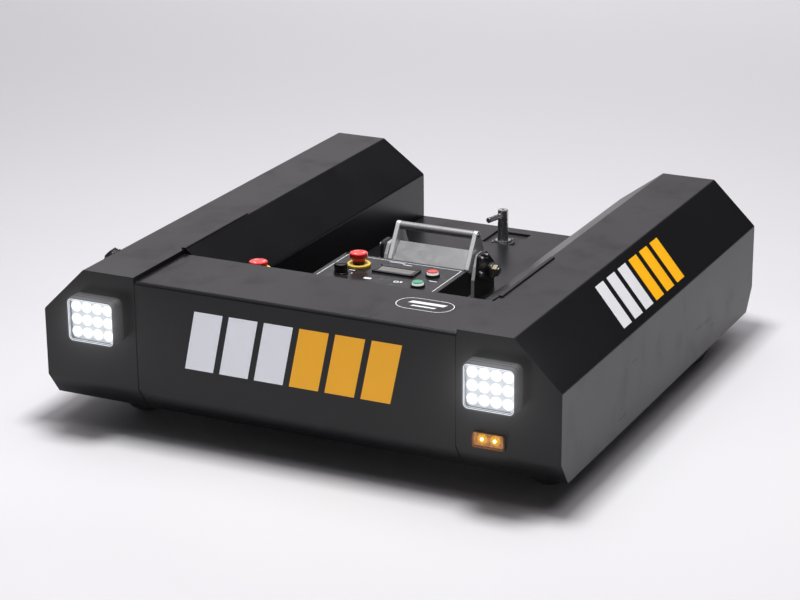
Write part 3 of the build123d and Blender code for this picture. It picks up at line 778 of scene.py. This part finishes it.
# Console: box, pedestal and panel, with the panel's prints, screws and display
def build_console():
    reshaped("console_box", CONSOLE, "chassis", 1.2, 3)
    reshaped("console_panel", LAMINATE, "chassis", 0.8, 2)
    reshaped("stop_pedestal", CONSOLE, "chassis", 1.2, 3)
    middle = seat((0, -129, PANEL), UP, ACROSS)
    marks = [plate("panel_prints", 263, 188, 0.15, middle, 0, 3, 1.6)]
    # Each print: how far right, how far back from the front, width, depth, corner, outline
    for k, (right, back, wide, deep, corner, line) in enumerate((
        (-25, 377, 18, 9, 4.4, 0), (38, 381, 11, 10, 3.4, 2.4), (48, 383, 5, 8, 0, 0),
        (105, 414, 18, 3, 1.4, 0), (-77, 410, 14, 3, 1.4, 0), (-96, 414, 5, 4, 0, 0),
        (-12, 491, 36, 2.6, 0, 0), (14, 484, 20, 2.6, 0, 0), (2, 490, 8, 4, 1.9, 0),
        (-112, 402, 4, 8, 1.9, 0), (-69, 392, 4, 4, 1.9, 0),
    )):
        place = seat((right, FRONT + back, PANEL), UP, ACROSS)
        marks.append(plate(f"print_{k}", wide, deep, 0.15, place, 0, corner, line))
    fit(joined(*marks), WHITE_INK)
    for end, y in (("front", -228), ("rear", -30)):
        for side, sign in SIDES:
            screw = cap_screw(f"panel_screw_{end}_{side}", (sign * 136, y, PANEL), UP, 2.6, 1.6, 12)
            fit(smooth(screw), BLACK)

    bezel = rounded_block("display_bezel", *corners_of("display"), "Z", 3, 3)
    pick(bezel, "FACE", both(on("Z", PANEL + 4), facing("Z", 1)))
    inset(8)
    pull(z=-1.2)
    done()
    fit(ease(bezel, 0.6, 2), BLACK, instead=("display",))
    screen = seat((*middle_of("display", "X", "Y"), PANEL + 2.8), UP, ACROSS)
    fit(plate("display_screen", 76, 26, 0.4, screen, 0, 1), SCREEN)


# Stop buttons: name, middle, foot, height of the ring and of the stem, underside of the head
RING_RADIUS = 25.0
RINGS_END = corners_of("stop_button_rings")[1]
STOPS = (
    ("panel", RINGS_END[0] - RING_RADIUS, RINGS_END[1] - RING_RADIUS, PANEL, 6.0, 9.5, 15.2),
    ("side", *middle_of("stop_pedestal", "X", "Y"), end_of("stop_pedestal", "Z"), 15.0, 3.2, 16.4),
)


def build_stop_buttons():
    rings, heads, stems, arrows = [], [], [], []
    for name, x, y, z, ring, stem, under in STOPS:
        rings.append(turned(f"stop_ring_{name}", (x, y, z), [
            (RING_RADIUS - 0.6, 0), (RING_RADIUS, 0.8), (RING_RADIUS, ring - 1.2), (RING_RADIUS - 1.2, ring),
            (15.5, ring), (14.5, ring - 1.6),
        ], UP, 56))
        stems.append(turned(f"stop_stem_{name}", (x, y, z + ring - 1.6), [
            (12, 0), (12, 1), (12.6, 3), (12.6, stem),
        ], UP, 40))
        heads.append(turned(f"stop_head_{name}", (x, y, z), [
            (12.4, under - 3), (13.6, under - 2.6), (17.4, under + 2.2), (19, under + 4.4), (19, 27.6),
            (18.5, 28.7), (17.3, 29.3), (12, 29.4), (6, 29.4), (0.5, 29.4),
        ], UP, 56))
        top = seat((x, y, z + 29.25), UP, ACROSS)
        for k in range(3):
            spot = top @ Matrix.Rotation(math.radians(120 * k + 20), 4, "Z")
            arrows.append(plate(f"stop_arrow_{name}_{k}", 1.6, 9, 0.3, spot @ moved(9.4), 3.4, 0.3))
    fit(smooth(joined(*rings)), YELLOW, instead=("stop_button_rings",))
    fit(smooth(joined(*heads)), RED, instead=("stop_button_heads",))
    fit(smooth(joined(*stems)), STEM)
    fit(joined(*arrows), WHITE_INK)


def build_panel_controls():
    x, y = middle_of("selector_knob", "X", "Y")
    skirt = turned("knob_skirt", (x, y, PANEL), [(15.5, 0), (15.5, 2.2), (14.4, 3.2)])
    body = turned("knob_body", (x, y, PANEL + 3.2), [
        (13.2, 0), (14.1, 1.2), (14.1, 16.4), (13.4, 17.7), (12.2, 18.0),
    ])
    grip = rounded_block("knob_grip", (-3.5, -12, 0), (3.5, 12, 4.4), "Z", 2.6, 3)
    turn = math.radians(-55)
    stand(grip, seat((x, y, PANEL + 17.6), UP, (math.cos(turn), math.sin(turn), 0)))
    fit(ease(joined(skirt, body, grip), 0.5, 2), BLACK, instead=("selector_knob",))
    for name, finish in (("red", RED_CAP), ("green", GREEN_CAP)):
        x, y = middle_of("push_button_" + name, "X", "Y")
        rim = turned(f"button_rim_{name}", (x, y, PANEL), [
            (15, 0), (15, 3.6), (14.2, 4.8), (12.8, 4.8), (12.2, 3.6),
        ])
        fit(smooth(rim), BLACK, instead=("push_button_" + name,))
        sleeve = turned(f"button_skirt_{name}", (x, y, PANEL + 3.6), [(11.9, 0), (11.9, 4.8), (11.4, 5.4)])
        # The skirt's glow is painted light on a side in shade.
        fit(smooth(sleeve), SKIRT)
        cap = turned(f"button_cap_{name}", (x, y, PANEL + 8.9), [
            (11.6, 0), (11.6, 0.8), (10.8, 1.7), (8, 2.0), (1, 2.0),
        ])
        fit(smooth(cap), finish)


# Wheel stop: arms, bar and plate that tilt, brackets and bearings that stay
def build_wheel_stop():
    # The arms' finish is a painted lighter copy of the stop grey.
    reshaped("stop_arms", STOP_ARM_LIGHTENED, "wheel_stop", 1.4, 3)
    reshaped("stop_bar", STOP_BAR, "wheel_stop", 0.3, 1)
    reshaped("stop_plate", STOP, "wheel_stop", 0.9, 2)
    reshaped("stop_brackets", BRACKET, "chassis", 1.0, 2)
    reshaped("stop_bearings", IRON, "chassis", 0.8, 2)


def build_bracket_black_and_shade_skins():
    """A thin black face on the outer side of each bracket: partly the black of the bearings that cover it,
    partly painted shade on that side, which faces away from the light.
    """
    outer = end_of("stop_brackets", "X")
    skin = copy_of("stop_brackets", "bracket_black_and_shade_skins")
    pick(skin, "FACE", lambda face: abs(abs(face.calc_center_median().x / MM) - outer) > 0.1)
    bpy.ops.mesh.delete(type="FACE")
    done()
    for side in (-1, 1):
        pick(skin, "FACE", lambda face: face.calc_center_median().x * side > 0)
        pull(x=side)
        done()
    face_outward(skin)
    fit(skin, IRON)


# The wheel stop's shaft, with its washers and nuts, and the bearings' bolts
def build_pivot():
    x, y, z = PIVOT
    ends = turned("bar_ends", (95.3, *middle_of("stop_bar", "Y", "Z")), [
        (4.6, 0), (4.6, 1.8), (3.9, 2.6), (2.4, 2.6), (2.1, 1.2),
    ], ACROSS, 18)
    ends = joined(ends, mirrored(ends, "bar_end_left"))
    fit(smooth(ends), BRIGHT, "wheel_stop")
    shaft = turned("pivot_shaft", (x - 139, y, z), [
        (6.6, 0), (7.6, 1.2), (7.6, 18), (9.9, 18.2), (9.9, 259.8), (7.6, 260), (7.6, 276.8), (6.6, 278),
    ], ACROSS, 40)
    fit(smooth(shaft), BRIGHT, instead=("stop_shaft",))
    bolts, nuts, washers = [], [], []
    hub = end_of("stop_bearings", "X")
    flange = hub - 5
    washer_thick = 2.6
    for side in (-1, 1):
        out = (side, 0, 0)
        for back, up in ((-45, 38), (-22, 38), (-50, 6)):
            bolts.append(turned("bearing_bolt", (side * flange, y + back, z + up), [
                (7.2, 0), (7.2, 1.2), (5.2, 1.3), (5.2, 4.6), (4.6, 5.4), (2.8, 5.4), (2.6, 3.0),
            ], out, 18))
        washers.append(turned("shaft_washer", (side * hub, y, z), [
            (15.5, 0), (15.5, 2.2), (15.0, washer_thick),
        ], out, 36))
        nuts.append(hex_nut("shaft_nut", (side * (hub + washer_thick), y, z), out, 12.9, 11))
    fit(smooth(joined(*bolts)), BRIGHT).name = "bearing_bolts"
    fit(smooth(joined(*washers)), BRIGHT).name = "shaft_washers"
    fit(ease(joined(*nuts), 0.5, 2), ZINC).name = "shaft_nuts"
    grease = cap_screw("grease_point", (flange, y + 12, z - 14), ACROSS, 3, 3)
    fit(smooth(joined(grease, mirrored(grease, "grease_point_left"))), BRIGHT)


# Tow pin, its handle, the jaw and the flange in the deck
def build_tow_pin():
    x, y = PIN
    pin = turned("tow_pin_turned", (x, y, 0), [
        (8.5, 90), (11, 93), (11, 152), (18.4, 152), (19, 152.8), (19, 158.2), (17.6, 160.6),
        (15.2, 161), (12.8, 161), (12.4, 163), (12, 164.5), (12, 204), (11.4, 205), (11.4, 207),
        (12, 208), (12, 229.6), (11.4, 231.4), (10, 232), (3, 232), (2.6, 230.4),
    ])
    fit(smooth(pin), PIN_STEEL, "tow_pin", ("tow_pin",))
    heading = Vector((-0.255, -0.967, 0)).normalized()
    handle = turned("tow_pin_grip", (x, y, *middle_of("tow_pin_handle", "Z")), [
        (6.9, 9), (6.9, 14), (6, 15), (6, 46), (6.3, 47.4), (6.3, 52.4), (5.7, 53.6), (4.8, 54), (0.6, 54),
    ], heading, 32)
    fit(smooth(handle), PIN_STEEL, "tow_pin", ("tow_pin_handle",))
    reshaped("hitch_jaw", JAW, "chassis", 1.2, 2)
    flange = hoop("pin_flange", (x, y, DECK - 6), [
        (20.2, 0), (27, 0), (27, 4.4), (26, 5.2), (21, 5.2), (20.2, 4.4), (20.2, 0),
    ])
    fit(smooth(flange), GEAR)
    bolt = cap_screw("flange_screws", (x + 16.7, y - 16.7, DECK - 0.8), UP, 3.2, 2.6)
    fit(smooth(around(bolt, (x, y, 0), "Z", 4)), BRIGHT)


# Deck, well tray, rear apron, floor pan with its screws, castor shelves and crown strips
def build_deck():
    reshaped("deck_plate", DECK_COAT, "chassis", 0.8, 2)
    reshaped("well_tray", DECK_COAT, "chassis", 0.5, 1)
    reshaped("rear_apron", DECK_COAT, "chassis", 0.8, 2)
    reshaped("floor_pan", CHASSIS, "chassis", 0.8, 1)
    reshaped("castor_shelves", CHASSIS, "chassis", 0.6, 1)
    strips = copy_of("crown_strips")
    pick(strips, "EDGE", both(running("Y"), on("Z", end_of("crown_strips", "Z"))))
    bevel(2.2, 4)
    done()
    fit(ease(strips, 0.4, 1), STRIP, instead=("crown_strips",))
    under, rows, step = start_of("floor_pan", "Z"), 8, 118
    screws = cap_screw("pan_screws", (-225, -470, under), DOWN, 5.5, 2.9)
    screws = copies(screws, [moved(0, k * step) for k in range(1, rows + 1)])
    ends = cap_screw("pan_screws_middle", (-75, -470, under), DOWN, 5.5, 2.9)
    ends = copies(ends, [moved(0, rows * step)])
    twins = mirrored(screws, "pan_screws_right"), ends, mirrored(ends, "pan_screws_middle_right")
    fit(smooth(joined(screws, *twins)), CASTOR_ZINC)


# Charging socket with its hinged cap, high on the left pod's slope
def build_socket():
    share = 0.83
    origin = (-HALF_WIDTH + SLOPE_RUN * share, FRONT + 138, CROWN - SLOPE_RISE * (1 - share))
    place = seat(origin, slope_outward(-1), BACK)
    flange = turned("socket_flange", (0, 0, 0), [
        (20, 0), (20, 2.6), (19, 3.6), (16.4, 3.6), (16.2, 7.4), (15.6, 8.2),
    ])
    cap = turned("socket_cap", (0, 0, 8.4), [
        (14.4, 0), (15, 0.6), (15, 2.6), (14.2, 3.4), (12, 3.5), (11.4, 3.1), (2, 3.1),
    ])
    hinge = block("socket_hinge", (-4, 13, 4), (4, 19.4, 10.6))
    body = stand(joined(flange, cap, hinge), place)
    fit(ease(body, 0.4, 1), SOCKET, instead=("charge_socket",))
    screw = cap_screw("socket_screws", (18, 0, 3.4), UP, 1.5, 1.2, 10)
    screws = stand(around(screw, (0, 0, 0), "Z", 4), place @ Matrix.Rotation(math.radians(45), 4, "Z"))
    fit(smooth(screws), BRIGHT)


# Drive wheels, gearboxes and motors
def build_drive(side, sign):
    x, y, z = WHEEL
    x *= sign
    out = (sign, 0, 0)
    steps = 72
    tyre = hoop(f"tyre_{side}", (x - sign * 35, y, z), [
        (60, 0), (82, 0), (89, 2.6), (92.9, 10), (92.9, 31), (92.9, 39), (92.9, 60),
        (89, 67.4), (82, 70), (60, 70), (60, 0),
    ], out, steps)
    axle = Vector((x, y, z)) * MM

    def grooved(face):
        """Rule: a tread face in the middle groove, or in a side groove, which are staggered."""
        arm = face.calc_center_median() - axle
        aside = arm.x / MM
        arm.x = 0
        step = round(math.degrees(math.atan2(arm.z, arm.y)) * steps / 360 - 0.5)
        return arm.length / MM > 92.3 and (abs(aside) < 5 or (step + (aside > 0)) % 3 == 0)

    pick(tyre, "FACE", grooved)
    swell(-4.0)
    done()
    fit(ease(tyre, 0.7, 1), TYRE, f"drive_wheel_{side}", (f"drive_tyre_{side}",))
    reshaped(f"drive_rim_{side}", RIM, f"drive_wheel_{side}", 1.0, 2)
    bolt = turned(f"rim_bolts_{side}", (x + sign * 5, y + 41, z), [
        (8, 0), (8, 1.4), (6.4, 1.5), (6.4, 6), (5.6, 7), (3.4, 7), (3.4, 9.4), (2.6, 10),
    ], out, 6)
    fit(ease(around(bolt, (x, y, z), "X", 6), 0.3, 1), CASTOR_ZINC, f"drive_wheel_{side}")
    cap = turned(f"hub_cap_{side}", (x + sign * 21, y, z), [
        (20, 0), (20, 3), (17, 6), (10, 7), (1, 7),
    ], out, 36)
    fit(smooth(cap), GEAR, f"drive_wheel_{side}")

    face = sign * end_of("gearboxes", "X")
    ring = hoop(f"gearbox_seal_{side}", (face, y, z), [
        (15.6, 0), (25, 0), (25, 2.4), (24, 3.2), (16.4, 3.2), (15.6, 2.4), (15.6, 0),
    ], out, 40)
    fit(smooth(ring), GEAR)
    bolt = cap_screw(f"gearbox_bolts_{side}", (face, y - 50, 66), out, 4.6, 3.6)
    spots = [moved(0, 50 * column, 34.5 * row) for column in range(3) for row in range(5)
             if (column or row) and (column != 1 or row in (0, 4))]
    fit(smooth(copies(bolt, spots)), CASTOR_ZINC)
    outline = [(54, 0), (54, 12)]
    for k in range(9):
        rib = 14 + k * 10
        outline += [(50, rib), (50, rib + 4), (55, rib + 5), (55, rib + 9)]
    outline += [(52, 108), (52, 116), (48, 122), (34, 123), (34, 128), (30, 128)]
    start = (sign * end_of("drive_motors", "X"), y, *middle_of("drive_motors", "Z"))
    return ease(turned(f"motor_{side}", start, outline, (-sign, 0, 0)), 0.5, 1)


def build_drives():
    motors = [build_drive(side, sign) for side, sign in SIDES]
    fit(joined(*motors), GEAR, instead=("drive_motors",)).name = "motor_housings"
    reshaped("gearboxes", GEAR, "chassis", 2.5, 3)


# Batteries: cases with the groove of their lids, and posts
def build_batteries():
    packs = copy_of("battery_blocks")
    lid, groove = 226, 2
    slice_at(packs, "Z", (lid - groove, lid + groove))
    pick(packs, "FACE", both(centred("Z", lid, groove), flank("Z")))
    swell(-2)
    done()
    fit(ease(packs, 2.0, 2), BATTERY, instead=("battery_blocks",))
    post = turned("battery_posts", (300, -200, end_of("battery_blocks", "Z")), [
        (12, 0), (12, 3), (7, 4), (7, 14), (6.4, 15),
    ], UP, 24)
    posts = copies(post, [moved(110, 0), moved(0, 260), moved(110, 260)])
    fit(smooth(joined(posts, mirrored(posts, "battery_posts_left"))), BRIGHT)


# Swivel castors
def build_castor(side):
    swivel, roll = f"castor_swivel_{side}", f"castor_wheel_{side}"
    x, y, z = turning_point(f"castor_{side}_roll")
    reshaped(f"castor_fork_{side}", CASTOR_ZINC, swivel, 0.8, 2)
    nut = hex_nut(f"castor_nuts_{side}", (x, y - 25.5, z), AHEAD, 8.4, 5.5)
    other = hex_nut("castor_nut_rear", (x, y + 25.5, z), BACK, 8.4, 5.5)
    fit(ease(joined(nut, other), 0.4, 1), BRIGHT, swivel)
    tread = hoop(f"castor_tread_{side}", (x, y - 18, z), [
        (36, 0), (45.5, 0), (49, 1.6), (49.95, 4.6), (49.95, 15.6), (48.8, 16.6), (48.8, 19.4),
        (49.95, 20.4), (49.95, 31.4), (49, 34.4), (45.5, 36), (36, 36), (36, 0),
    ], BACK, 64)
    fit(smooth(tread), CASTOR_RUBBER, roll, (f"castor_wheel_{side}",))
    core = hoop(f"castor_core_{side}", (x, y - 20, z), [
        (5.1, 0), (10.6, 0), (11, 0.6), (12.5, 7), (27, 10), (32, 4), (36, 3), (36, 37), (32, 36),
        (27, 30), (12.5, 33), (11, 39.4), (10.6, 40), (5.1, 40), (5.1, 0),
    ], BACK)
    fit(smooth(core), NYLON, roll)


def build_castors():
    for side, _ in SIDES:
        build_castor(side)
    reshaped("castor_plates", CASTOR_ZINC, "chassis", 0.8, 2)
    x, y, _ = turning_point("castor_right_swivel")
    under = start_of("castor_plates", "Z")
    bolt = turned("plate_bolts", (x - 43, y - 33, under), [(6.5, 0), (6.5, 4), (5.8, 4.8)], DOWN, 6)
    bolts = copies(bolt, [moved(86), moved(0, 66), moved(86, 66)])
    fit(ease(joined(bolts, mirrored(bolts, "plate_bolts_left")), 0.4, 1), BRIGHT)


# Camera, solved from the photograph
CAMERA_PLACE = (2.1417, -4.4354, 1.9106)
CAMERA_YAW = math.radians(-26.066)
CAMERA_PITCH = math.radians(19.479)
CAMERA_ROLL = math.radians(-0.4507)
CAMERA_LENS = 111.83
SENSOR = 36.0


def add_camera():
    ahead = Vector((
        math.sin(CAMERA_YAW) * math.cos(CAMERA_PITCH),
        math.cos(CAMERA_YAW) * math.cos(CAMERA_PITCH),
        -math.sin(CAMERA_PITCH),
    ))
    level = ahead.cross(Vector((0, 0, 1))).normalized()
    upward = level.cross(ahead)
    right = math.cos(CAMERA_ROLL) * level + math.sin(CAMERA_ROLL) * upward
    up = right.cross(ahead)
    data = bpy.data.cameras.new("photo_camera")
    data.lens = CAMERA_LENS
    data.sensor_width = SENSOR
    data.clip_end = 60
    camera = bpy.data.objects.new("photo_camera", data)
    bpy.context.scene.collection.objects.link(camera)
    turn = Matrix((right, up, -ahead)).transposed().to_4x4()
    camera.matrix_world = Matrix.Translation(CAMERA_PLACE) @ turn
    bpy.context.scene.camera = camera


def add_softbox(name, place, target, size, power):
    data = bpy.data.lights.new(name, "AREA")
    data.shape = "RECTANGLE"
    data.size, data.size_y = size
    data.energy = power
    light = bpy.data.objects.new(name, data)
    bpy.context.scene.collection.objects.link(light)
    light.location = place
    light.rotation_euler = (Vector(target) - Vector(place)).to_track_quat("-Z", "Y").to_euler()
    return light


# The studio round the machine: a low bright wall behind and to the left, a dark gap, a wide bright ceiling
def add_surround():
    world = bpy.data.worlds.new("studio")
    bpy.context.scene.world = world
    room = Nodes(world)
    apart = room.add("SeparateXYZ", {}, {0: room.add("TexCoord")})
    across, back, rise = (Wire(room, apart.socket.node.outputs[k]) for k in range(3))
    foot = 1 - rise.spread(0.25, 0.33)
    band = rise.spread(0.25, 0.33) * (1 - rise.spread(0.36, 0.48))
    wall = (foot * 0.38 + band * 1.7) * (across.spread(0.15, -0.42) * 0.94 + 0.06)
    wall = wall * (back.spread(-0.4, 0.3) * 0.88 + 0.12)
    ceiling = (rise - back.spread(0.1, -0.3) * 0.2).spread(0.74, 0.86)
    tone = wall + ceiling * 1.35 + 0.02
    room.feed(room.tree.nodes["Background"].inputs[0], (0.99, 0.95, 1.0))
    room.feed(room.tree.nodes["Background"].inputs[1], tone)


def add_bloom():
    """The soft halo that the lit lamps leave in the picture."""
    scene = bpy.context.scene
    scene.use_nodes = True
    tree = scene.node_tree
    tree.nodes.clear()
    layers = tree.nodes.new("CompositorNodeRLayers")
    halo = tree.nodes.new("CompositorNodeGlare")
    halo.glare_type = "BLOOM"
    halo.quality = "HIGH"
    for name, value in (("Threshold", 1.2), ("Strength", 0.66), ("Size", 0.45)):
        halo.inputs[name].default_value = value
    result = tree.nodes.new("CompositorNodeComposite")
    tree.links.new(layers.outputs["Image"], halo.inputs["Image"])
    tree.links.new(halo.outputs["Image"], result.inputs["Image"])


def add_studio():
    add_softbox("key_softbox", (0.05, -0.12, 3.4), (0.05, -0.17, 0), (0.8, 0.75), 96)
    far = add_softbox("far_softbox", (-2.2, 4.8, 3.2), (-2.2, 5.6, 0), (6.0, 2.0), 105)
    far.visible_glossy = False
    edge = add_softbox("edge_softbox", (-1.65, -2.45, 2.7), (0, 0.1, 0.25), (1.5, 1.2), 7)
    edge.visible_diffuse = False
    add_surround()
    add_bloom()
    clear()
    bpy.ops.mesh.primitive_plane_add(size=60, location=(0, 0, 0))
    floor = bpy.context.object
    floor.name = "floor"
    sweep = Coat("studio_floor", Specular_IOR_Level=0.3)
    faint = sweep.noise(2.0, 3)
    spot = sweep.place()
    across = sweep.add("SeparateXYZ", {}, {0: spot}, out=0)
    back = sweep.add("SeparateXYZ", {}, {0: spot}, out=1)
    # The floor's colour darkens toward the back and the left: a painted falloff of light across the floor.
    depth = back * 0.9 - across * 0.44
    painted_falloff = sweep.mix(depth.spread(-0.6, 0.5), (0.842, 0.837, 0.855), (0.755, 0.75, 0.77))
    sweep.set(Base_Color=sweep.mix(faint * 0.1, painted_falloff, (0.9, 0.9, 0.9)), Roughness=faint * 0.1 + 0.5)
    floor.data.materials.append(sweep.material)
    bpy.context.scene.view_settings.view_transform = "Standard"


add_camera()
add_studio()
build_covers()
build_vinyl()
build_work_lamp("left")
build_work_lamp("right")
build_marker_lamp()
build_console()
build_stop_buttons()
build_panel_controls()
build_wheel_stop()
build_bracket_black_and_shade_skins()
build_pivot()
build_tow_pin()
build_deck()
build_socket()
build_drives()
build_batteries()
build_castors()
